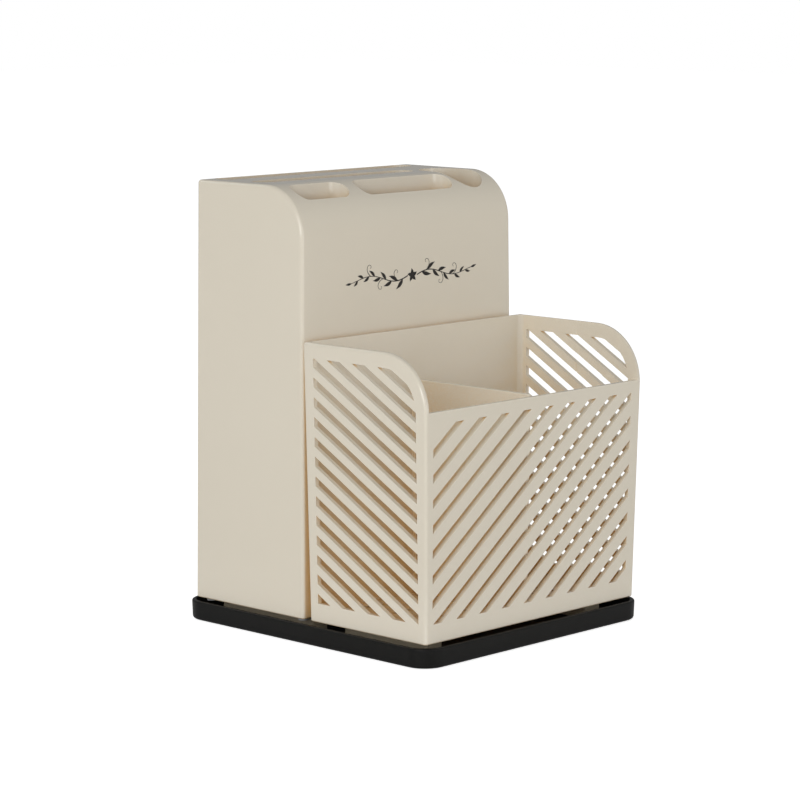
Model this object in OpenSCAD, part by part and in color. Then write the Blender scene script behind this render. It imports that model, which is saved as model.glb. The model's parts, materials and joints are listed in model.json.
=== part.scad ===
// Countertop organizer: a tall block with five drop-in openings and an open slatted basket
// stand side by side on runners in a shallow drip tray.
// Frame: X runs right along the front, Y runs to the back, Z is up. The origin is the middle
// of the footprint, on the surface that the tray's pads stand on. All sizes are millimetres.

/* [Drip tray] */
// Width of the tray over its rim
tray_w = 175.2; // [174:0.2:186]
// Depth of the tray over its rim
tray_d = 184.2; // [183:0.2:195]
// Height of the tray's rim
tray_top = 11; // [8:0.5:11.5]
// Corner radius of the tray, seen from above
tray_corner_r = 13; // [8:1:16]
// Wall thickness of the tray
tray_wall = 2.2; // [1.6:0.2:2.6]
// Thickness of the tray's floor
tray_floor = 1.6; // [1.4:0.1:2]

/* [Block] */
// Width of the block at its foot
block_w_foot = 167.2; // [165:0.2:168]
// Width of the block at its top
block_w_top = 163.2; // [161:0.2:166]
// Depth of the block at its foot
block_d_foot = 84.2; // [83:0.2:85]
// Depth of the block at its top
block_d_top = 80.4; // [79:0.2:82]
// Height of the block's top above the surface
block_top = 241.8; // [225:0.2:260]
// Radius of the block's rolled front edge
block_nose_r = 27; // [24:0.5:30]
// Wall thickness of the block
block_wall = 2.6; // [2:0.1:3]
// How far the collars reach down from the block's top
collar_depth = 36; // [30:1:60]

/* [Openings in the block] */
// Width of the four narrow openings
slot_w = 13.2; // [11:0.2:14]
// Length of the rear opening
rear_slot_l = 148; // [130:1:149]
// Length of the second opening
middle_slot_l = 119.5; // [100:0.5:120]
// Length of the short opening at the front left
short_slot_l = 39.3; // [30:0.1:40]
// Length of the long opening at the front middle
long_slot_l = 73; // [60:0.5:74]
// Width of the wide opening at the front right
wide_slot_w = 26.5; // [22:0.5:27]
// Length of the wide opening, front to back
wide_slot_l = 39; // [34:0.5:40]

/* [Basket] */
// Width of the basket at its foot
basket_w_foot = 166.4; // [165:0.2:168]
// Width of the basket at its top
basket_w_top = 171; // [170:0.2:173]
// Depth of the basket at its foot
basket_d_foot = 84.4; // [83:0.2:85]
// Depth of the basket at its top
basket_d_top = 88.4; // [87:0.2:89]
// Height of the basket's back and side walls above the surface
basket_top = 161.5; // [150:0.5:175]
// Height of the basket's front wall above the surface
front_top = 132.8; // [125:0.2:134]
// Radius of the side walls' front corners
basket_nose_r = 30; // [24:0.5:31]
// Wall thickness of the basket
basket_wall = 2.5; // [2:0.1:3]

/* [Slats] */
// Slope of the slots in the side walls
side_slot_angle = 29.8; // [26:0.2:34]
// Height from one side slot to the next
side_slot_pitch = 10.45; // [9.5:0.05:12]
// Clear width across one side slot
side_slot_gap = 4.6; // [3.5:0.1:5]
// Slope of the slots in the front wall
front_slot_angle = 37.1; // [34:0.1:42]
// Height from one front slot to the next
front_slot_pitch = 13.2; // [12:0.1:15]
// Clear width across one front slot
front_slot_gap = 3.75; // [3:0.05:4.5]
// Height of the slots' lowest ends above the surface
slot_foot = 22.9; // [21:0.1:26]

/* [Runners and fasteners] */
// Width of a runner
runner_w = 13; // [10:0.5:14]
// Length of the block's runners
block_runner_l = 70; // [60:1:72]
// Length of the basket's runners
basket_runner_l = 60; // [50:1:64]
// How far the runners stand in from the sides of the body above them
runner_inset = 13.2; // [11:0.2:14]

/* [Hidden] */

cream = [0.84, 0.80, 0.72];
warm_grey = [0.72, 0.68, 0.60];
black = [0.13, 0.13, 0.12];
rubber = [0.22, 0.22, 0.22];
steel = [0.70, 0.71, 0.72];
eps = 0.01;
fit = 0.3;              // gap round a plate that drops into a body
overlap = 0.6;          // how far a rib is sunk into the wall that carries it
tube_fn = 32;           // sides of a small edge radius
arc_fn = 128;           // sides of a full circle of a rolled edge
$fn = 48;

// Tray
tray_foot = 0.4;        // underside of the tray
tray_draft = 0.2;       // how much wider each side is at the rim
tray_edge_r = 1.8;      // radius under the tray's outer edge
tray_rim_r = 0.9;
tray_in_floor_r = 1.2;  // radius round the tray's floor
tray_floor_top = tray_foot + tray_floor;
pad_d = 14;
pad_t = 1;
pad_inset = 16.6;       // from the tray's rim to the middle of a pad
pad_clear = 0.2;        // gap round a pad in its recess
pad_x = tray_w / 2 - pad_inset;
pad_y = tray_d / 2 - pad_inset;

// Levels shared by the two bodies
foot = 12.5;            // underside of both bodies
edge_r = 2;             // radius along the bodies' upright edges
foot_edge_r = 0.9;      // radius along their lowest edge

// Block
block_y = 43.15;        // middle of the block
plate_t = 2.5;
base_top = foot + plate_t;
block_in_w = block_w_foot - 2 * block_wall;
block_in_d = block_d_foot - 2 * block_wall;
collar_t = 2;
collar_foot = block_top - collar_depth;
front_row_y = 17.6;     // middle of the front row of openings
middle_row_y = 46.5;
rear_row_y = 75;
left_end_x = -73.5;     // left ends of the three openings on the left
right_end_x = 74.5;     // right end of the wide opening
slot_web = 1.4;         // solid strip between the long opening and the wide one
wide_slot_front_y = 10.4;
wide_slot_x = right_end_x - wide_slot_w / 2;
wide_slot_y = wide_slot_front_y + wide_slot_l / 2;
long_slot_x = wide_slot_x - wide_slot_w / 2 - slot_web - long_slot_l / 2;
cavity_edge_r = 1.6;    // radius along the cavity's upright edges
cavity_rim_r = 1;
cavity_foot_r = 0.5;
base_hole_d = 7;
base_hole_pitch = 12;
base_hole_reach = 48;   // from the middle of the base to its last hole
base_rear_row_y = 74;

// Dividers inside the block
divider_t = 2;
divider_gap = 2.5;      // from the dividers' tops to the collars
divider_top = collar_foot - divider_gap;
rear_divider_y = (rear_row_y + middle_row_y) / 2;
middle_divider_y = (front_row_y + middle_row_y) / 2;
cross_divider_x = wide_slot_x - wide_slot_w / 2 - slot_web / 2;
short_divider_x = (left_end_x + short_slot_l + long_slot_x - long_slot_l / 2) / 2;
rib_t = 1.6;
rib_reach = 3;
rib_foot = base_top + 1;

// Screws that hold the block's base
boss_d = 8;
boss_top = 34;
boss_inset = 3.7;       // from the cavity's walls to the middle of a boss
boss_web_l = 4.6;       // length of the webs that tie a boss to the walls
boss_web_t = 2;
boss_x = block_in_w / 2 - boss_inset;
boss_y = block_in_d / 2 - boss_inset;
screw_d = 2.9;
pilot_hole_d = 3.1;
screw_hole_d = 3.3;
screw_l = 14;
screw_head_d = 5.6;
screw_head_h = 1.8;
drive_l = 3.2;          // cross recess in a screw's head
drive_w = 0.8;
drive_depth = 1;

// Basket
basket_y = -45.6;       // middle of the basket
basket_edge_r = 1.6;    // radius along the rims of the basket's walls
basket_in_r = 3;
floor_foot = foot + 1.2;
floor_top = floor_foot + plate_t;
nose_z = basket_top - basket_nose_r;
partition_t = 2.4;
partition_x = -3;       // the partition stands a little left of the middle
partition_proud = 1.2;  // how far its top stands above the front wall
rail_t = 1.6;
rail_reach = 2.2;
rail_gap = 0.2;
rail_top_gap = 2;       // from the rails' tops to the front wall's rim
clip_l = 12;
clip_side_y = 26;       // clips on the side walls, from their middle
clip_front_x = 40;      // clips on the front and back walls, from their middle
stop_h = 1.5;
stop_reach = 1.2;
bead_h = 1;
bead_reach = 0.8;
bead_z = foot + 0.2;
floor_hole_d = 5.6;
floor_hole_pitch_x = 10;
floor_hole_pitch_y = 10.5;
floor_hole_first_x = 9;

// Windows that bound the slots: plain borders left round them
side_border_top = 8;
side_border_front_foot = 4.9;
side_border_front_top = 7;
side_border_back_foot = 6.5;
side_border_back_top = 7.5;
front_border_top = 6.3;
front_border_left = 4.8;
front_border_right = 7;
side_window_top = basket_top - side_border_top;
side_window_nose_r = basket_nose_r - side_border_top;
side_window_foot_y = basket_y - basket_d_foot / 2 + side_border_front_foot;
front_window_top = front_top - front_border_top;
front_window_left = -basket_w_foot / 2 + front_border_left;
front_window_right = basket_w_foot / 2 - front_border_right;
front_window_flare = 1.3;  // how much each side of the front window leans out
front_slot_phase = -5.2;   // height of the first front slot's edge at the window's corner
shortest_rise = 5;         // a front slot that would rise less than this at the left is left out
front_slot_last = floor((front_window_top - slot_foot - front_slot_phase - shortest_rise)
                        / front_slot_pitch);
bar_lead = 20;             // length of a slanted bar before its window
bar_l = 260;

// Runners
peg_d = 6;
peg_clear = 0.2;
block_runner_x = block_w_foot / 2 - runner_inset - runner_w / 2;
basket_runner_x = basket_w_foot / 2 - runner_inset - runner_w / 2;
peg_inset = 12;

function lerp(a, b, t) = a + (b - a) * t;
// Half width of the block's cavity at height z
function block_in_x(z) =
    lerp(block_w_foot, block_w_top, (z - foot) / (block_top - edge_r - foot)) / 2 - block_wall;
// Inner face of the block's front wall at height z
function block_front_y(z) =
    block_y - lerp(block_d_foot, block_d_top, (z - foot) / (block_top - block_nose_r - foot)) / 2
    + block_wall;
// Half width of the basket's cavity at height z
function basket_in_x(z) =
    lerp(basket_w_foot, basket_w_top, (z - foot) / (basket_top - foot)) / 2 - basket_wall;
// Inner faces of the basket's front and back walls at height z
function basket_front_y(z) =
    basket_y - lerp(basket_d_foot, basket_d_top, (z - foot) / (nose_z - foot)) / 2 + basket_wall;
function basket_back_y(z) =
    basket_y + lerp(basket_d_foot, basket_d_top, (z - foot) / (basket_top - foot)) / 2 - basket_wall;

// ---- shared shapes ----

// Rounded rectangle on the XY plane
module rounded_plate(w, d, r, h) {
    linear_extrude(h) {
        square([w - 2 * r, d], center = true);
        square([w, d - 2 * r], center = true);
        for (sx = [-1, 1], sy = [-1, 1])
            translate([sx * (w / 2 - r), sy * (d / 2 - r)]) circle(r);
    }
}

// Slot with full-round ends, long along X
module pill(l, w) {
    square([l - w, w], center = true);
    for (s = [-1, 1]) translate([s * (l - w) / 2, 0]) circle(d = w);
}

// Drafted body with a rolled front top edge and small radii elsewhere
module drafted_form(w_foot, w_top, d_foot, d_top, y, z_foot, z_top, nose_r, corner_r, rim_r, foot_r) {
    hull() for (sx = [-1, 1]) {
        for (sy = [-1, 1])
            translate([sx * (w_foot / 2 - corner_r), y + sy * (d_foot / 2 - corner_r), z_foot + foot_r])
                rotate_extrude($fn = tube_fn) {
                    translate([corner_r - foot_r, 0]) circle(foot_r, $fn = tube_fn / 2);
                }
        translate([sx * (w_top / 2 - rim_r), y + d_top / 2 - rim_r, z_top - rim_r])
            sphere(rim_r, $fn = tube_fn);
        translate([sx * (w_top / 2 - rim_r), y - d_top / 2 + nose_r, z_top - nose_r])
            rotate([90, 0, -90]) rotate_extrude(angle = 90, $fn = arc_fn)
                translate([nose_r - rim_r, 0]) circle(rim_r, $fn = tube_fn);
    }
}

// Upright plate in the YZ plane, centred on x, with its own outline
module yz_plate(x, t) {
    translate([x - t / 2, 0, 0]) rotate([90, 0, 90]) linear_extrude(t) children();
}

// Upright plate in the XZ plane, centred on y, with its own outline
module xz_plate(y, t) {
    translate([0, y + t / 2, 0]) rotate([90, 0, 0]) linear_extrude(t) children();
}

module runner(x, y, l, top, peg_top) {
    translate([x, y, tray_floor_top]) rounded_plate(runner_w, l, 2, top - tray_floor_top);
    for (s = [-1, 1])
        translate([x, y + s * (l / 2 - peg_inset), top - eps])
            cylinder(d = peg_d, h = peg_top - top + eps);
}

module peg_holes(x, y, l) {
    for (sx = [-1, 1], sy = [-1, 1])
        translate([sx * x, y + sy * (l / 2 - peg_inset), 0])
            cylinder(d = peg_d + peg_clear, h = 4 * foot);
}

// ---- drip tray ----

module tray_solid(inset, z0, z1, low_r, high_r) {
    r = tray_corner_r - inset;
    hull() for (sx = [-1, 1], sy = [-1, 1]) {
        translate([sx * (tray_w / 2 - tray_draft - inset - r), sy * (tray_d / 2 - tray_draft - inset - r),
                   z0 + low_r])
            rotate_extrude($fn = 64) translate([r - low_r, 0]) circle(low_r, $fn = tube_fn);
        translate([sx * (tray_w / 2 - inset - r), sy * (tray_d / 2 - inset - r), z1 - high_r])
            rotate_extrude($fn = 64) translate([r - high_r, 0]) circle(high_r, $fn = tube_fn / 2);
    }
}

module drip_tray() {
    color(black) difference() {
        tray_solid(0, tray_foot, tray_top, tray_edge_r, tray_rim_r);
        tray_solid(tray_wall, tray_floor_top, tray_top + 3, tray_in_floor_r, tray_rim_r);
        for (sx = [-1, 1], sy = [-1, 1])
            translate([sx * pad_x, sy * pad_y, 0]) cylinder(d = pad_d + 2 * pad_clear, h = pad_t);
    }
}

module pad(sx, sy) {
    color(rubber) translate([sx * pad_x, sy * pad_y, 0]) cylinder(d = pad_d, h = pad_t);
}

module pad_front_left() { pad(-1, -1); }
module pad_front_right() { pad(1, -1); }
module pad_rear_left() { pad(-1, 1); }
module pad_rear_right() { pad(1, 1); }

// ---- block ----

// Plan of the five openings, grown by g all round
module openings_plan(g) {
    translate([left_end_x + rear_slot_l / 2, rear_row_y]) pill(rear_slot_l + 2 * g, slot_w + 2 * g);
    translate([left_end_x + middle_slot_l / 2, middle_row_y]) pill(middle_slot_l + 2 * g, slot_w + 2 * g);
    translate([left_end_x + short_slot_l / 2, front_row_y]) pill(short_slot_l + 2 * g, slot_w + 2 * g);
    translate([long_slot_x, front_row_y]) pill(long_slot_l + 2 * g, slot_w + 2 * g);
    translate([wide_slot_x, wide_slot_y]) rotate(90) pill(wide_slot_l + 2 * g, wide_slot_w + 2 * g);
}

module block_cavity() {
    drafted_form(block_w_foot - 2 * block_wall, block_w_top - 2 * block_wall,
                 block_d_foot - 2 * block_wall, block_d_top - 2 * block_wall, block_y,
                 foot - 1, block_top - block_wall, block_nose_r - block_wall,
                 cavity_edge_r, cavity_rim_r, cavity_foot_r);
}

// Ribs on both side walls that hold the two long dividers
module side_wall_ribs() {
    for (y = [rear_divider_y, middle_divider_y], s = [-1, 1], sx = [-1, 1])
        mirror([sx < 0 ? 1 : 0, 0, 0])
            xz_plate(y + s * (divider_t / 2 + rail_gap + rib_t / 2), rib_t)
                polygon([[block_in_x(base_top) + overlap, rib_foot],
                         [block_in_x(base_top) - rib_reach, rib_foot],
                         [block_in_x(divider_top) - rib_reach, divider_top],
                         [block_in_x(divider_top) + overlap, divider_top]]);
}

// Ribs on the front wall that hold the two short dividers
module front_wall_ribs() {
    for (x = [cross_divider_x, short_divider_x], s = [-1, 1])
        yz_plate(x + s * (divider_t / 2 + rail_gap + rib_t / 2), rib_t)
            polygon([[block_front_y(base_top) - overlap, rib_foot],
                     [block_front_y(base_top) + rib_reach, rib_foot],
                     [block_front_y(divider_top) + rib_reach, divider_top],
                     [block_front_y(divider_top) - overlap, divider_top]]);
}

module screw_bosses() {
    for (sx = [-1, 1], sy = [-1, 1]) translate([sx * boss_x, block_y + sy * boss_y, base_top]) {
        cylinder(d = boss_d, h = boss_top - base_top);
        translate([sx > 0 ? 0 : -boss_web_l, -boss_web_t / 2, 0])
            cube([boss_web_l, boss_web_t, boss_top - base_top]);
        translate([-boss_web_t / 2, sy > 0 ? 0 : -boss_web_l, 0])
            cube([boss_web_t, boss_web_l, boss_top - base_top]);
    }
}

module block_shell() {
    color(cream) difference() {
        union() {
            difference() {
                drafted_form(block_w_foot, block_w_top, block_d_foot, block_d_top, block_y,
                             foot, block_top, block_nose_r, edge_r, edge_r, foot_edge_r);
                difference() {
                    block_cavity();
                    translate([0, 0, collar_foot]) linear_extrude(collar_depth) openings_plan(collar_t);
                }
            }
            side_wall_ribs();
            front_wall_ribs();
            screw_bosses();
        }
        translate([0, 0, collar_foot - 1]) linear_extrude(collar_depth + 4) openings_plan(0);
        for (sx = [-1, 1], sy = [-1, 1])
            translate([sx * boss_x, block_y + sy * boss_y, foot])
                cylinder(d = pilot_hole_d, h = screw_l + 1);
    }
}

module block_base() {
    color(warm_grey) difference() {
        translate([0, block_y, foot])
            rounded_plate(block_in_w - 2 * fit, block_in_d - 2 * fit, cavity_edge_r, plate_t);
        for (x = [-base_hole_reach:base_hole_pitch:base_hole_reach],
             y = [front_row_y, middle_row_y, base_rear_row_y])
            translate([x, y, 0]) cylinder(d = base_hole_d, h = 2 * foot);
        peg_holes(block_runner_x, block_y, block_runner_l);
        for (sx = [-1, 1], sy = [-1, 1])
            translate([sx * boss_x, block_y + sy * boss_y, 0]) cylinder(d = screw_hole_d, h = 2 * foot);
    }
}

module block_runner_left() {
    color(warm_grey) runner(-block_runner_x, block_y, block_runner_l, foot, base_top);
}

module block_runner_right() {
    color(warm_grey) runner(block_runner_x, block_y, block_runner_l, foot, base_top);
}

// Long divider between the rear opening and the second one, from wall to wall
module divider_rear() {
    color(warm_grey) xz_plate(rear_divider_y, divider_t)
        polygon([[-block_in_x(base_top) + fit, base_top], [block_in_x(base_top) - fit, base_top],
                 [block_in_x(divider_top) - fit, divider_top],
                 [-block_in_x(divider_top) + fit, divider_top]]);
}

// Divider between the second opening and the front row, from the left wall to the cross divider
module divider_middle() {
    color(warm_grey) xz_plate(middle_divider_y, divider_t)
        polygon([[-block_in_x(base_top) + fit, base_top], [cross_divider_x - divider_t / 2, base_top],
                 [cross_divider_x - divider_t / 2, divider_top],
                 [-block_in_x(divider_top) + fit, divider_top]]);
}

// Divider on the left of the wide opening, from the front wall to the rear divider
module divider_cross() {
    color(warm_grey) yz_plate(cross_divider_x, divider_t)
        polygon([[block_front_y(base_top) + fit, base_top], [rear_divider_y - divider_t / 2, base_top],
                 [rear_divider_y - divider_t / 2, divider_top],
                 [block_front_y(divider_top) + fit, divider_top]]);
}

// Divider between the short and the long front openings
module divider_short() {
    color(warm_grey) yz_plate(short_divider_x, divider_t)
        polygon([[block_front_y(base_top) + fit, base_top], [middle_divider_y - divider_t / 2, base_top],
                 [middle_divider_y - divider_t / 2, divider_top],
                 [block_front_y(divider_top) + fit, divider_top]]);
}

module base_screws() {
    color(steel) for (sx = [-1, 1], sy = [-1, 1])
        translate([sx * boss_x, block_y + sy * boss_y, foot]) {
            cylinder(d = screw_d, h = screw_l);
            difference() {
                translate([0, 0, -screw_head_h]) cylinder(d = screw_head_d, h = screw_head_h);
                translate([0, 0, -screw_head_h - eps]) for (a = [0, 90])
                    rotate(a) translate([-drive_l / 2, -drive_w / 2, 0])
                        cube([drive_l, drive_w, drive_depth]);
            }
        }
}

// ---- basket ----

module basket_cavity() {
    z_low = foot - 1;
    z_high = basket_top + 1;
    hull() for (z = [z_low, z_high], sx = [-1, 1]) {
        x = sx * (basket_in_x(z) - basket_in_r);
        translate([x, basket_front_y(z) + basket_in_r, z]) cylinder(r = basket_in_r, h = eps);
        translate([x, basket_back_y(z) - basket_in_r, z]) cylinder(r = basket_in_r, h = eps);
    }
}

// Outline that bounds the slots of a side wall: u is Y and v is Z
module side_window() {
    back_foot = basket_y + basket_d_foot / 2 - side_border_back_foot;
    front_high = basket_y - basket_d_top / 2 + side_border_front_top;
    back_high = basket_y + basket_d_top / 2 - side_border_back_top;
    r = side_window_nose_r;
    polygon(concat([[side_window_foot_y, slot_foot], [back_foot, slot_foot], [back_high, side_window_top]],
        [for (a = [90:6:180]) [front_high + r + r * cos(a), side_window_top - r + r * sin(a)]]));
}

module front_window() {
    polygon([[front_window_left, slot_foot], [front_window_right, slot_foot],
             [front_window_right + front_window_flare, front_window_top],
             [front_window_left - front_window_flare, front_window_top]]);
}

// Slanted bars that rise away from the point (u, v), one every pitch
module slanted_bars(u, v, angle, pitch, gap, first, last) {
    for (k = [first:last])
        translate([u, v + k * pitch]) rotate(angle) translate([-bar_lead, 0]) square([bar_l, gap]);
}

module side_slots() {
    intersection() {
        side_window();
        slanted_bars(side_window_foot_y, slot_foot, side_slot_angle, side_slot_pitch, side_slot_gap,
                     -6, 14);
    }
}

module front_slots() {
    intersection() {
        front_window();
        slanted_bars(front_window_left, slot_foot + front_slot_phase, front_slot_angle,
                     front_slot_pitch, front_slot_gap, -11, front_slot_last);
    }
}

// Pairs of rails that guide the partition: full ones on the back wall, and short ones on the
// front wall below and above its window, so that none shows through the slots
module partition_rails() {
    z0 = floor_top + stop_h;
    z1 = front_top - rail_top_gap;
    for (s = [-1, 1])
        yz_plate(partition_x + s * (partition_t / 2 + rail_gap + rail_t / 2), rail_t) {
        for (span = [[z0, slot_foot], [front_window_top, z1]])
            polygon([[basket_front_y(span[0]) - overlap, span[0]],
                     [basket_front_y(span[0]) + rail_reach, span[0]],
                     [basket_front_y(span[1]) + rail_reach, span[1]],
                     [basket_front_y(span[1]) - overlap, span[1]]]);
        polygon([[basket_back_y(z0) + overlap, z0], [basket_back_y(z0) - rail_reach, z0],
                 [basket_back_y(z1) - rail_reach, z1], [basket_back_y(z1) + overlap, z1]]);
    }
}

// Stops above the floor plate and snap beads below it, on the side, front and back walls
module floor_clips() {
    side_x = basket_in_x(floor_top);
    half_d = (basket_back_y(floor_top) - basket_front_y(floor_top)) / 2;
    mid_y = (basket_back_y(floor_top) + basket_front_y(floor_top)) / 2;
    for (row = [[floor_top, stop_h, stop_reach], [bead_z, bead_h, bead_reach]], s = [-1, 1], t = [-1, 1]) {
        z = row[0] + row[1] / 2;
        shift = (overlap - row[2]) / 2;
        translate([s * (side_x + shift), mid_y + t * clip_side_y, z])
            cube([row[2] + overlap, clip_l, row[1]], center = true);
        translate([t * clip_front_x, mid_y + s * (half_d + shift), z])
            cube([clip_l, row[2] + overlap, row[1]], center = true);
    }
}

module basket_shell() {
    color(cream) union() {
        difference() {
            drafted_form(basket_w_foot, basket_w_top, basket_d_foot, basket_d_top, basket_y,
                         foot, basket_top, basket_nose_r, edge_r, basket_edge_r, foot_edge_r);
            basket_cavity();
            // opening above the front wall, between the side walls
            translate([-basket_in_x(basket_top), basket_y - basket_d_top, front_top])
                cube([2 * basket_in_x(basket_top), basket_d_top, 2 * basket_top]);
            for (sx = [-1, 1])
                yz_plate(sx * (basket_in_x(basket_top) + basket_wall / 2), 3 * basket_wall) side_slots();
            xz_plate(basket_y - basket_d_top / 2 + basket_wall / 2, 4 * basket_wall) front_slots();
        }
        partition_rails();
        floor_clips();
    }
}

module basket_floor() {
    front_y = basket_front_y(floor_foot) + fit;
    back_y = basket_back_y(floor_foot) - fit;
    mid_y = (front_y + back_y) / 2;
    hole_x = [for (i = [0:4], s = [-1, 1]) s * (floor_hole_first_x + floor_hole_pitch_x * i)];
    color(cream) difference() {
        translate([0, mid_y, floor_foot])
            rounded_plate(2 * basket_in_x(floor_foot) - 2 * fit, back_y - front_y, basket_in_r, plate_t);
        for (x = hole_x, i = [-3:3])
            translate([x, mid_y + floor_hole_pitch_y * i, 0]) cylinder(d = floor_hole_d, h = 2 * foot);
        peg_holes(basket_runner_x, basket_y, basket_runner_l);
    }
}

module basket_runner_left() {
    color(warm_grey) runner(-basket_runner_x, basket_y, basket_runner_l, floor_foot, floor_top);
}

module basket_runner_right() {
    color(warm_grey) runner(basket_runner_x, basket_y, basket_runner_l, floor_foot, floor_top);
}

module basket_partition() {
    top = front_top + partition_proud;
    color(cream) yz_plate(partition_x, partition_t)
        polygon([[basket_front_y(floor_top) + fit, floor_top],
                 [basket_back_y(floor_top) - fit, floor_top],
                 [basket_back_y(top) - fit, top],
                 [basket_front_y(top) + fit, top]]);
}

drip_tray();
pad_front_left();
pad_front_right();
pad_rear_left();
pad_rear_right();
block_shell();
block_base();
block_runner_left();
block_runner_right();
divider_rear();
divider_middle();
divider_cross();
divider_short();
base_screws();
basket_shell();
basket_floor();
basket_runner_left();
basket_runner_right();
basket_partition();
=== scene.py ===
"""Looks of the organizer: cream moulded block and slatted basket in a black drip tray."""

import json
import math

import bpy
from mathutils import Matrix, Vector
from mathutils.bvhtree import BVHTree


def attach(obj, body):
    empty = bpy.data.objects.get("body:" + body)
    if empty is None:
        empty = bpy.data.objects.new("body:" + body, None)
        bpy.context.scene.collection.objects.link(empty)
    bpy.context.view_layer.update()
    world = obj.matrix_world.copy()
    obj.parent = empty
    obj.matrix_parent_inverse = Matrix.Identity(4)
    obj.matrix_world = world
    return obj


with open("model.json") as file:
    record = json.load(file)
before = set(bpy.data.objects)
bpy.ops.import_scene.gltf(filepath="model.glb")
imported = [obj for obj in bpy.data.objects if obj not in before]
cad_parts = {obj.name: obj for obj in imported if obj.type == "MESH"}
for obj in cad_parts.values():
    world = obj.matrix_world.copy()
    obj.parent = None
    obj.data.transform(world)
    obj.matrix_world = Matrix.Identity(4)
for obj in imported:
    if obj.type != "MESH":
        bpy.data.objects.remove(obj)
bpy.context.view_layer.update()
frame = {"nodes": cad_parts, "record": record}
NODES = frame["nodes"]

MM = 0.001

# ---------------------------------------------------------------- node helpers


class Nodes:
    """A material's node tree, with short calls to add and link nodes."""

    def __init__(self, name):
        self.material = bpy.data.materials.new(name)
        self.material.use_nodes = True
        self.tree = self.material.node_tree
        self.tree.nodes.clear()

    def add(self, kind, **settings):
        node = self.tree.nodes.new(kind)
        for key, value in settings.items():
            setattr(node, key, value)
        return node

    def link(self, source, target):
        self.tree.links.new(source, target)

    def noise(self, vector, scale, detail=2.0, roughness=0.5):
        node = self.add("ShaderNodeTexNoise")
        node.inputs["Scale"].default_value = scale
        node.inputs["Detail"].default_value = detail
        node.inputs["Roughness"].default_value = roughness
        self.link(vector, node.inputs["Vector"])
        return node.outputs["Fac"]

    def remap(self, value, low, high, out_low, out_high):
        node = self.add("ShaderNodeMapRange")
        node.inputs["From Min"].default_value = low
        node.inputs["From Max"].default_value = high
        node.inputs["To Min"].default_value = out_low
        node.inputs["To Max"].default_value = out_high
        self.link(value, node.inputs["Value"])
        return node.outputs["Result"]

    def mix_colour(self, factor, first, second):
        node = self.add("ShaderNodeMix", data_type="RGBA")
        for socket, value in ((node.inputs[6], first), (node.inputs[7], second)):
            if isinstance(value, tuple):
                socket.default_value = (*value, 1.0)
            else:
                self.link(value, socket)
        self.link(factor, node.inputs[0])
        return node.outputs[2]

    def bump(self, height, strength, distance, normal=None):
        node = self.add("ShaderNodeBump")
        node.inputs["Strength"].default_value = strength
        node.inputs["Distance"].default_value = distance
        self.link(height, node.inputs["Height"])
        if normal is not None:
            self.link(normal, node.inputs["Normal"])
        return node.outputs["Normal"]

    def math(self, operation, first, second):
        node = self.add("ShaderNodeMath", operation=operation)
        for socket, value in zip(node.inputs, (first, second)):
            if isinstance(value, (int, float)):
                socket.default_value = value
            else:
                self.link(value, socket)
        return node.outputs[0]


# Noise scales, per metre: slow flow marks, cloudy patches of painted edge highlight and roughness,
# fine grain of the mould
FLOW_SCALE = 14.0
CLOUD_SCALE = 55.0
GRAIN_SCALE = 3200.0
FLOW_BUMP = 0.4 * MM
GRAIN_BUMP = 0.02 * MM
# How far a hollow's walls count as near, and the openness at which its painted shade and painted
# light change the colour
HOLLOW_REACH = 110.0 * MM
PAINTED_SHADE_FROM = 0.38
PAINTED_SHADE_FULL = 0.08
PAINTED_LIGHT_FROM = (0.64, 0.34)
PAINTED_LIGHT_FULL = (0.48, 0.46)
# Painted edge highlight: its reach, and how far the rounded normal has to lean for none and full
# highlight
EDGE_HIGHLIGHT_REACH = 0.9 * MM
EDGE_HIGHLIGHT_LEAN = (0.995, 0.85)
EDGE_HIGHLIGHT_AMOUNT = (0.15, 0.8)
EDGE_HIGHLIGHT_GLOSS = 0.08
PLASTIC_IOR = 1.5


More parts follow.
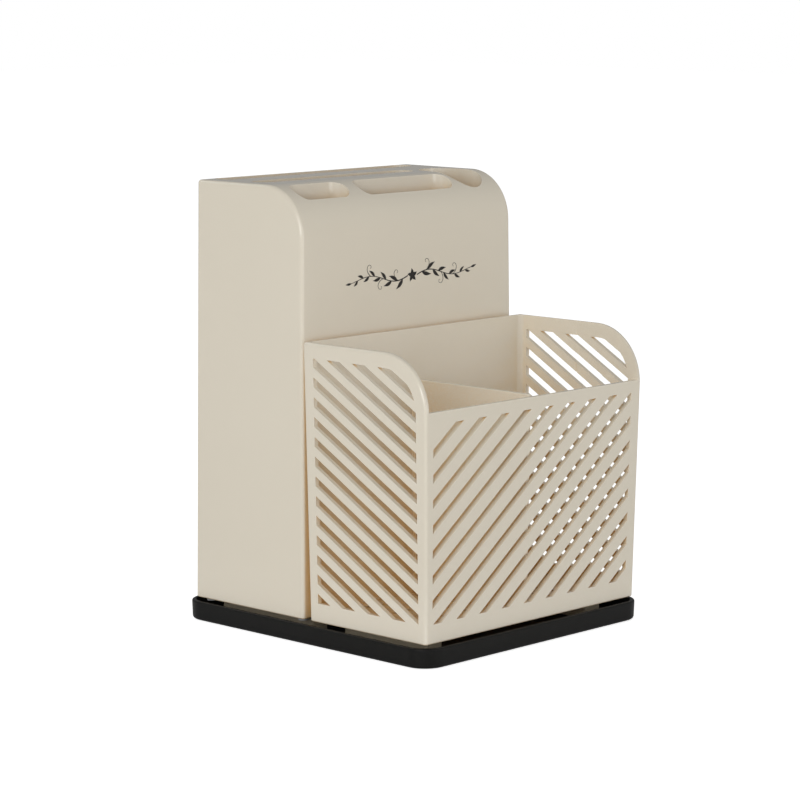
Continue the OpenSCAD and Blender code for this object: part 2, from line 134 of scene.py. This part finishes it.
def moulded_plastic(name, body, shade, painted_light_tint, rough, grain, painted_hollow_shade=None, specular=0.5):
    """Injection-moulded plastic: faint flow variation, fine spark-eroded grain, painted edge
    highlight.

    With a hollow colour given, closed-in places warm towards it as painted shade, and half-open
    hollows turn a little paler as painted light, standing in for light soaking through thin walls."""
    n = Nodes(name)
    place = n.add("ShaderNodeTexCoord").outputs["Object"]
    flow = n.noise(place, FLOW_SCALE, 3.0)
    cloud = n.noise(place, CLOUD_SCALE, 4.0, 0.6)
    fine = n.noise(place, GRAIN_SCALE, 2.0, 0.6)
    colour = n.mix_colour(n.remap(flow, 0.3, 0.7, 0.0, 1.0), body, shade)
    if painted_hollow_shade:
        open_sky = n.add("ShaderNodeAmbientOcclusion", samples=6)
        open_sky.inputs["Distance"].default_value = HOLLOW_REACH
        openness = open_sky.outputs["AO"]
        # painted shade: closed-in places warm and darken towards the hollow colour
        colour = n.mix_colour(n.remap(openness, PAINTED_SHADE_FROM, PAINTED_SHADE_FULL, 0.0, 1.0), colour, painted_hollow_shade)
        # painted light: half-open hollows turn paler towards the light tint
        painted_soak_light = n.math("MULTIPLY", n.remap(openness, PAINTED_LIGHT_FROM[0], PAINTED_LIGHT_FULL[0], 0.0, 1.0),
                           n.remap(openness, PAINTED_LIGHT_FROM[1], PAINTED_LIGHT_FULL[1], 0.0, 1.0))
        colour = n.mix_colour(painted_soak_light, colour, painted_light_tint)

    # painted edge highlight, in cloudy patches: the rounded normal leaves the face normal near an
    # edge
    rounded = n.add("ShaderNodeBevel", samples=4)
    rounded.inputs["Radius"].default_value = EDGE_HIGHLIGHT_REACH
    face = n.add("ShaderNodeNewGeometry").outputs["Normal"]
    agree = n.add("ShaderNodeVectorMath", operation="DOT_PRODUCT")
    n.link(rounded.outputs["Normal"], agree.inputs[0])
    n.link(face, agree.inputs[1])
    edge = n.remap(agree.outputs["Value"], *EDGE_HIGHLIGHT_LEAN, 0.0, 1.0)
    edge_highlight = n.math("MULTIPLY", edge, n.remap(cloud, 0.35, 0.65, *EDGE_HIGHLIGHT_AMOUNT))
    colour = n.mix_colour(edge_highlight, colour, painted_light_tint)

    roughness = n.remap(cloud, 0.3, 0.7, rough[0], rough[1])
    roughness = n.math("SUBTRACT", roughness, n.math("MULTIPLY", edge_highlight, EDGE_HIGHLIGHT_GLOSS))
    normal = n.bump(flow, 0.06, FLOW_BUMP)
    normal = n.bump(fine, grain, GRAIN_BUMP, normal)

    shader = n.add("ShaderNodeBsdfPrincipled")
    n.link(colour, shader.inputs["Base Color"])
    n.link(roughness, shader.inputs["Roughness"])
    n.link(normal, shader.inputs["Normal"])
    shader.inputs["IOR"].default_value = PLASTIC_IOR
    shader.inputs["Specular IOR Level"].default_value = specular
    n.link(shader.outputs["BSDF"], n.add("ShaderNodeOutputMaterial").inputs["Surface"])
    return n.material


# In each material the colour after the shade is painted light: a highlight on its edges, and for the
# cream also paler half-open hollows. The cream's last colour is painted shade, warming its hollows.
CREAM = moulded_plastic(
    "cream_plastic", body=(0.86, 0.79, 0.655), shade=(0.85, 0.78, 0.645), painted_light_tint=(0.96, 0.91, 0.80),
    rough=(0.10, 0.16), grain=0.12, painted_hollow_shade=(0.88, 0.57, 0.20), specular=0.6)
INNER = moulded_plastic(
    "inner_plastic", body=(0.60, 0.52, 0.38), shade=(0.58, 0.50, 0.365), painted_light_tint=(0.66, 0.58, 0.45),
    rough=(0.5, 0.6), grain=0.4)
BLACK = moulded_plastic(
    "tray_plastic", body=(0.007, 0.007, 0.0065), shade=(0.009, 0.009, 0.0085),
    painted_light_tint=(0.03, 0.03, 0.029), rough=(0.38, 0.48), grain=0.5, specular=0.18)
RUBBER = moulded_plastic(
    "pad_rubber", body=(0.03, 0.03, 0.03), shade=(0.035, 0.035, 0.035), painted_light_tint=(0.06, 0.06, 0.06),
    rough=(0.75, 0.85), grain=0.8)
STEEL = moulded_plastic(
    "screw_steel", body=(0.55, 0.55, 0.56), shade=(0.5, 0.5, 0.51), painted_light_tint=(0.7, 0.7, 0.7),
    rough=(0.25, 0.4), grain=0.2)
INK = moulded_plastic(
    "print_ink", body=(0.022, 0.019, 0.017), shade=(0.028, 0.025, 0.022), painted_light_tint=(0.05, 0.045, 0.04),
    rough=(0.45, 0.6), grain=0.6, specular=0.3)

MATERIALS = {
    "housing": CREAM,
    "inner_plastic": INNER,
    "tray_plastic": BLACK,
    "pad_rubber": RUBBER,
    "screw_steel": STEEL,
}

# ---------------------------------------------------------------- edges of the CAD pieces

# Millimetres; pieces not named here take the plain radius
EDGE_RADIUS = {
    "block_shell": 0.55,
    "basket_shell": 0.45,
    "basket_partition": 0.6,
}
PLAIN_EDGE_RADIUS = 0.3
WELD_GAP = 0.002 * MM
FLAT_ANGLE = math.radians(0.3)
SHARP_ANGLE = math.radians(28)


def soften(node, radius):
    """Rounds a CAD piece's sharp edges and smooths its curved faces."""
    piece = NODES[node]
    weld = piece.modifiers.new("weld", "WELD")
    weld.merge_threshold = WELD_GAP
    flat = piece.modifiers.new("flat", "DECIMATE")
    flat.decimate_type = "DISSOLVE"
    flat.angle_limit = FLAT_ANGLE
    bevel = piece.modifiers.new("bevel", "BEVEL")
    bevel.width = radius * MM
    bevel.segments = 3
    bevel.limit_method = "ANGLE"
    bevel.angle_limit = SHARP_ANGLE
    normals = piece.modifiers.new("normals", "WEIGHTED_NORMAL")
    normals.keep_sharp = True


for part in frame["record"]["subparts"]:
    piece = NODES[part["node"]]
    piece.data.materials.clear()
    piece.data.materials.append(MATERIALS[part["material_slot"]])
    soften(part["node"], EDGE_RADIUS.get(part["node"], PLAIN_EDGE_RADIUS))

# ---------------------------------------------------------------- printed sprig on the block's front

SPRIG_X = 2.0 * MM
SPRIG_Z = 189.5 * MM
SPRIG_REACH = 47.0 * MM
INK_PROUD = 0.10 * MM
INK_SUNK = 0.15 * MM
STAR_REACH = 3.6 * MM      # from the middle to where each stem starts
STEM_WAVE = 2.4 * MM
LEAVES_A_SIDE = 9
STAR_POINTS = 5
TENDRIL_L = 11.0 * MM


def front_of(node):
    """A function that gives the Y of a piece's front face at any X and Z."""
    mesh = NODES[node].data
    tree = BVHTree.FromPolygons([v.co for v in mesh.vertices], [p.vertices for p in mesh.polygons])

    def at(x, z):
        return tree.ray_cast(Vector((x, -1.0, z)), Vector((0.0, 1.0, 0.0)))[0].y

    return at


def stroke(points, widths):
    """A pen stroke on the X-Z plane, as pairs of edge points left and right of its path."""
    pairs = []
    for i, (x, z) in enumerate(points):
        before = points[max(i - 1, 0)]
        after = points[min(i + 1, len(points) - 1)]
        dx, dz = after[0] - before[0], after[1] - before[1]
        length = math.hypot(dx, dz)
        nx, nz = -dz / length * widths[i] / 2, dx / length * widths[i] / 2
        pairs.append(((x + nx, z + nz), (x - nx, z - nz)))
    return pairs


def leaf(x, z, heading, length, width, bend):
    """A pointed leaf that starts at (x, z) and bends as it goes."""
    steps = 10
    points, widths = [], []
    for i in range(steps + 1):
        t = i / steps
        points.append((x, z))
        widths.append(0.08 * MM + width * math.sin(math.pi * t ** 0.8) ** 1.2)
        x += length / steps * math.cos(heading + bend * t)
        z += length / steps * math.sin(heading + bend * t)
    return stroke(points, widths)


def tendril(x, z, heading, side, size):
    """A thin curl that winds in on itself."""
    steps = 26
    points, widths = [], []
    for i in range(steps + 1):
        t = i / steps
        points.append((x, z))
        widths.append(0.35 * MM * (1 - 0.6 * t))
        step = size / steps * (1.5 - t)
        heading += side * (0.06 + 0.34 * t)
        x += step * math.cos(heading)
        z += step * math.sin(heading)
    return stroke(points, widths)


def stem_point(side, t):
    """The point a share t of the way along the left or right stem."""
    wave = STEM_WAVE * math.sin(2.2 * math.pi * t) * (1 - 0.35 * t)
    return SPRIG_X + side * (STAR_REACH + (SPRIG_REACH - STAR_REACH) * t), SPRIG_Z + side * wave


def stem_heading(side, t):
    """The direction in which a stem runs at a share t of its length."""
    ahead, behind = stem_point(side, t + 0.01), stem_point(side, t - 0.01)
    return math.atan2(ahead[1] - behind[1], ahead[0] - behind[0])


def sprig_strokes():
    """A star of small leaves, with a leafy stem and its tendrils on either side."""
    strokes = []
    for k in range(STAR_POINTS):
        heading = math.radians(90 + 360 / STAR_POINTS * k)
        strokes.append(leaf(SPRIG_X, SPRIG_Z, heading, 3.8 * MM, 2.0 * MM, 0.3))
    for side in (-1, 1):
        steps = 48
        path = [stem_point(side, i / steps) for i in range(steps + 1)]
        strokes.append(stroke(path, [(0.62 - 0.34 * i / steps) * MM for i in range(steps + 1)]))
        for i in range(LEAVES_A_SIDE):
            t = 0.09 + 0.1 * i
            turn = side if i % 2 else -side
            x, z = stem_point(side, t)
            strokes.append(leaf(x, z, stem_heading(side, t) + turn * 0.75, (7.6 - 0.42 * i) * MM,
                                (2.1 - 0.1 * i) * MM, -turn * 0.55))
        x, z = stem_point(side, 1.0)
        strokes.append(leaf(x, z, stem_heading(side, 1.0), 4.5 * MM, 1.2 * MM, 0.2 * side))
        for t, turn in ((0.17, 1), (0.44, -1), (0.66, 1)):
            x, z = stem_point(side, t)
            heading = stem_heading(side, t) + side * turn * 0.5
            strokes.append(tendril(x, z, heading, side * turn, TENDRIL_L))
    return strokes


def make_sprig():
    """Thin closed strips of ink that follow the block's front face."""
    front = front_of("block_shell")
    points, faces = [], []
    for pairs in sprig_strokes():
        start = len(points)
        for left, right in pairs:
            for x, z in (left, right):
                y = front(x, z)
                points.append((x, y - INK_PROUD, z))
                points.append((x, y + INK_SUNK, z))
        last = start + 4 * (len(pairs) - 1)
        for a in range(start, last, 4):
            b = a + 4
            faces.append((a, a + 2, b + 2, b))
            faces.append((a + 1, b + 1, b + 3, a + 3))
            faces.append((a, b, b + 1, a + 1))
            faces.append((a + 2, a + 3, b + 3, b + 2))
        faces.append((start, start + 1, start + 3, start + 2))
        faces.append((last, last + 2, last + 3, last + 1))
    data = bpy.data.meshes.new("front_sprig")
    data.from_pydata(points, [], faces)
    data.materials.append(INK)
    sprig = bpy.data.objects.new("front_sprig", data)
    bpy.context.scene.collection.objects.link(sprig)
    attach(sprig, "block")


make_sprig()

# ---------------------------------------------------------------- camera, light and floor


def aim(thing, target):
    """Turns a camera or light to look at a point."""
    thing.rotation_mode = "QUATERNION"
    thing.rotation_quaternion = (Vector(target) - thing.location).to_track_quat("-Z", "Y")


CAMERA_AZIMUTH = math.radians(-46.25)
CAMERA_ELEVATION = math.radians(8.56)
CAMERA_DISTANCE = 1.650
CAMERA_LENS = 134.8
CAMERA_TARGET = Vector((0.0076, 0.0173, 0.1188))
ROOM_LIGHT = 0.32
FLOOR_HALF = 6.0
FLOOR_WHITE = 0.85
FLOOR_GLOW = 0.12
FLOOR_GLOW_SEEN = 0.8


def make_camera():
    """The photo's view of the front and left side."""
    data = bpy.data.cameras.new("camera")
    data.lens = CAMERA_LENS
    data.sensor_width = 36.0
    camera = bpy.data.objects.new("camera", data)
    bpy.context.scene.collection.objects.link(camera)
    level = math.cos(CAMERA_ELEVATION)
    back = Vector((math.sin(CAMERA_AZIMUTH) * level, -math.cos(CAMERA_AZIMUTH) * level,
                   math.sin(CAMERA_ELEVATION)))
    camera.location = CAMERA_TARGET + back * CAMERA_DISTANCE
    aim(camera, CAMERA_TARGET)
    bpy.context.scene.camera = camera


def area_light(name, place, target, width, height, power):
    """A soft box that faces the target."""
    data = bpy.data.lights.new(name, "AREA")
    data.shape = "RECTANGLE"
    data.size = width
    data.size_y = height
    data.energy = power
    light = bpy.data.objects.new(name, data)
    light.location = place
    aim(light, target)
    bpy.context.scene.collection.objects.link(light)


def make_studio():
    """Three soft boxes in a white room, which the camera sees as plain white."""
    middle = (0.0, 0.0, 0.12)
    area_light("key", (-1.75, -0.72, 0.65), middle, 0.9, 0.9, 13.2)
    area_light("fill", (0.5, -1.9, 0.4), middle, 1.2, 1.0, 6.8)
    area_light("back", (-0.45, 1.10, 1.10), middle, 0.4, 0.4, 1.2)
    world = bpy.data.worlds.new("studio")
    world.use_nodes = True
    tree = world.node_tree
    tree.nodes.clear()
    room = tree.nodes.new("ShaderNodeBackground")
    room.inputs["Color"].default_value = (1.0, 1.0, 1.0, 1.0)
    room.inputs["Strength"].default_value = ROOM_LIGHT
    paper = tree.nodes.new("ShaderNodeBackground")
    paper.inputs["Color"].default_value = (1.0, 1.0, 1.0, 1.0)
    paper.inputs["Strength"].default_value = 1.0
    path = tree.nodes.new("ShaderNodeLightPath")
    mix = tree.nodes.new("ShaderNodeMixShader")
    tree.links.new(path.outputs["Is Camera Ray"], mix.inputs[0])
    tree.links.new(room.outputs[0], mix.inputs[1])
    tree.links.new(paper.outputs[0], mix.inputs[2])
    tree.links.new(mix.outputs[0], tree.nodes.new("ShaderNodeOutputWorld").inputs["Surface"])
    bpy.context.scene.world = world
    bpy.context.scene.view_settings.view_transform = "Standard"


def floor_material():
    """White paper with a faint glow, stronger to the camera, so that it reads white with a
    faint shadow."""
    n = Nodes("floor")
    paper = n.add("ShaderNodeBsdfDiffuse")
    paper.inputs["Color"].default_value = (FLOOR_WHITE, FLOOR_WHITE, FLOOR_WHITE, 1.0)
    glow = n.add("ShaderNodeEmission")
    seen = n.add("ShaderNodeLightPath").outputs["Is Camera Ray"]
    n.link(n.remap(seen, 0.0, 1.0, FLOOR_GLOW, FLOOR_GLOW_SEEN), glow.inputs["Strength"])
    both = n.add("ShaderNodeAddShader")
    n.link(paper.outputs[0], both.inputs[0])
    n.link(glow.outputs[0], both.inputs[1])
    n.link(both.outputs[0], n.add("ShaderNodeOutputMaterial").inputs["Surface"])
    return n.material


def make_floor():
    data = bpy.data.meshes.new("floor")
    half = FLOOR_HALF
    corners = [(-half, -half, 0), (half, -half, 0), (half, half, 0), (-half, half, 0)]
    data.from_pydata(corners, [], [(0, 1, 2, 3)])
    floor = bpy.data.objects.new("floor", data)
    data.materials.append(floor_material())
    bpy.context.scene.collection.objects.link(floor)


make_camera()
make_studio()
make_floor()
